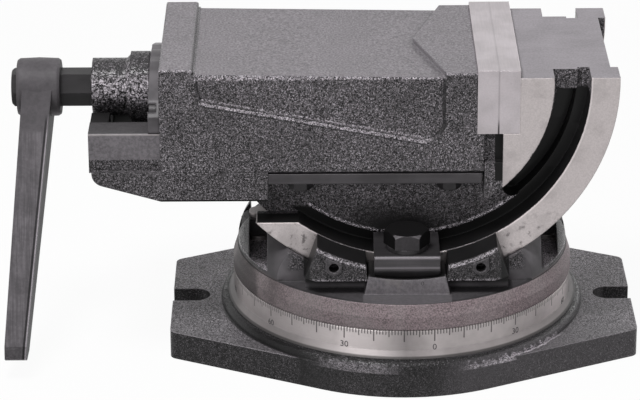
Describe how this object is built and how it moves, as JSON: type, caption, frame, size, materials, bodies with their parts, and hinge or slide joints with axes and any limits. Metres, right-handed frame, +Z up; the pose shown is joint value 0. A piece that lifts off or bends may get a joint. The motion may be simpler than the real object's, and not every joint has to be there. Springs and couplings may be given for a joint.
{
  "type": "tilting machine vise",
  "caption": "Machine vise on a tilting rocker and a graduated swivel base, with clamp blocks, a vise screw under the movable jaw and a removable crank handle.",
  "frame": {"origin": "on the swivel axis, at the underside of the base plate", "axes": "+Z up along the swivel axis, +X along the vise screw from the crank towards the fixed jaw, +Y across the jaws away from the side that the picture shows"},
  "size_m": [0.3819, 0.224, 0.189],
  "materials": {
    "casting": "dark grey hammertone paint",
    "table_casting": "ground cast iron on the rim, painted saddle",
    "ground_steel": "ground",
    "black_steel": "black oxide",
    "plain_steel": "turned"
  },
  "bodies": {
    "base": {"base_plate": "casting"},
    "table": {"swivel_table": "table_casting", "swivel_tee_bolts": "plain_steel", "swivel_washers": "plain_steel", "swivel_nuts": "black_steel", "lock_screws": "black_steel", "clamp_block_front": "black_steel", "clamp_block_rear": "black_steel", "clamp_bolt_front": "black_steel", "clamp_bolt_rear": "black_steel", "clamp_washers": "black_steel"},
    "rocker": {"vise_body": "casting", "fixed_plate": "ground_steel", "fixed_plate_screws": "black_steel", "side_rails": "black_steel", "rail_bolts": "black_steel", "screw_nut": "plain_steel", "nut_bolts": "black_steel"},
    "jaw": {"movable_jaw": "casting", "movable_plate": "ground_steel", "movable_plate_screws": "black_steel", "hold_down_plate": "plain_steel", "hold_down_screws": "black_steel", "screw_bracket": "casting", "bracket_screws": "black_steel"},
    "screw": {"vise_screw": "black_steel", "thrust_collar": "plain_steel", "crank_handle": "black_steel"}
  },
  "joints": [
    {"name": "swivel", "type": "hinge", "parent": "base", "child": "table", "pos_m": [0, 0, 0.04], "axis": [0, 0, 1], "continuous": true},
    {"name": "tilt", "type": "hinge", "parent": "table", "child": "rocker", "pos_m": [0.001, 0, 0.179], "axis": [0, 1, 0], "range_deg": [0, 90]},
    {"name": "jaw_slide", "type": "slide", "parent": "rocker", "child": "jaw", "axis": [-1, 0, 0], "range_m": [0, 0.095]},
    {"name": "screw_turn", "type": "hinge", "parent": "jaw", "child": "screw", "pos_m": [-0.2, 0, 0.156], "axis": [-1, 0, 0], "range_deg": [0, 6840]}
  ],
  "couplings": [
    {"joint": "jaw_slide", "follows": "screw_turn", "m_per_rad": 0.00079577}
  ]
}
